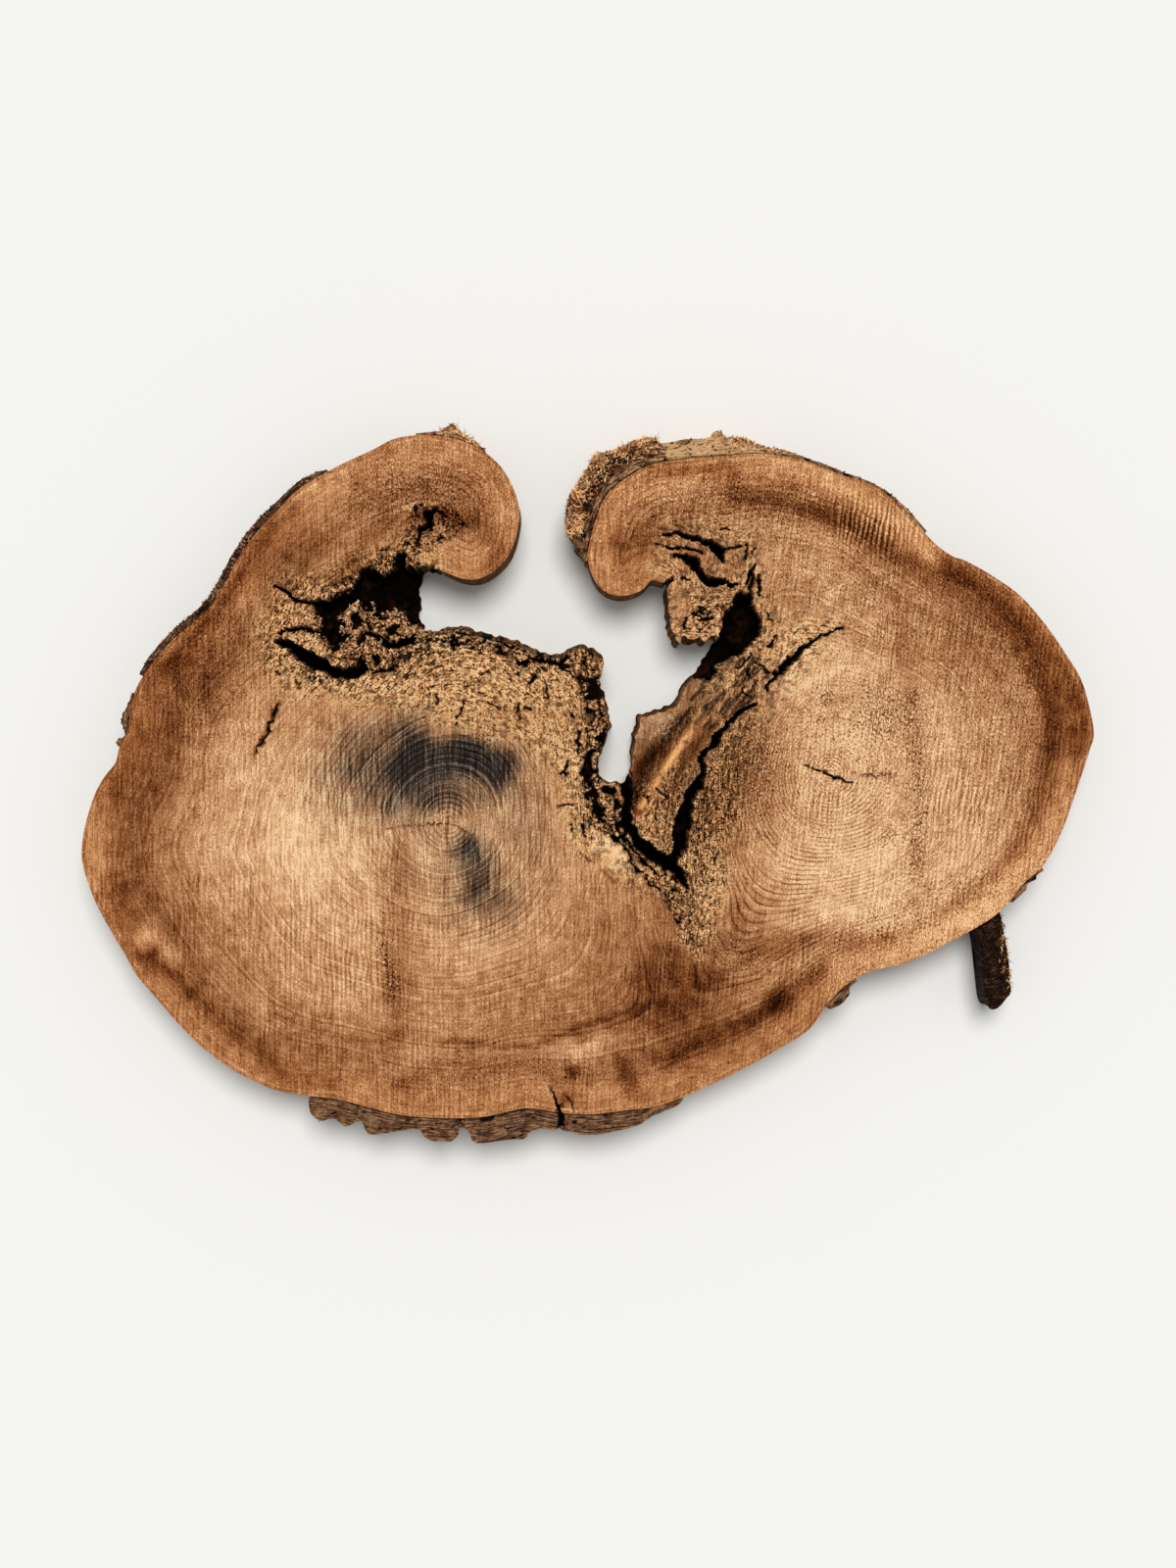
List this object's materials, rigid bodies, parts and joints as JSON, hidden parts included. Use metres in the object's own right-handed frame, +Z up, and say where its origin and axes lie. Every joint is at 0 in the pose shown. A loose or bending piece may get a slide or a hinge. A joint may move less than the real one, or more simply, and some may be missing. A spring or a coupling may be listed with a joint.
{
  "type": "walnut wood cookie",
  "caption": "Thick slice sawn across a forked walnut trunk, with two lobes, a rotten gap between curled ends, and bark left on parts of its edge.",
  "frame": {"origin": "middle of the bounding box, on the floor, under the sawn back face", "axes": "+Z up out of the sawn face and along the trunk, +X along the long side towards the right lobe, +Y towards the open end of the gap between the curled ends"},
  "size_m": [1.0326, 0.7358, 0.076],
  "materials": {
    "wood": "rough sawn, unfinished",
    "bark": "furrowed bark, dry and matt",
    "fibrous_bark": "frayed inner bark, dry and matt"
  },
  "bodies": {
    "root": {"wood_slab": "wood", "bark_base": "bark", "bark_crown_right": "fibrous_bark", "bark_tuft_left": "fibrous_bark", "bark_rim_left": "bark", "bark_notch_left": "bark", "bark_flake_right": "bark", "bark_chip_right": "bark", "peeled_bark_strip": "bark"}
  },
  "joints": []
}
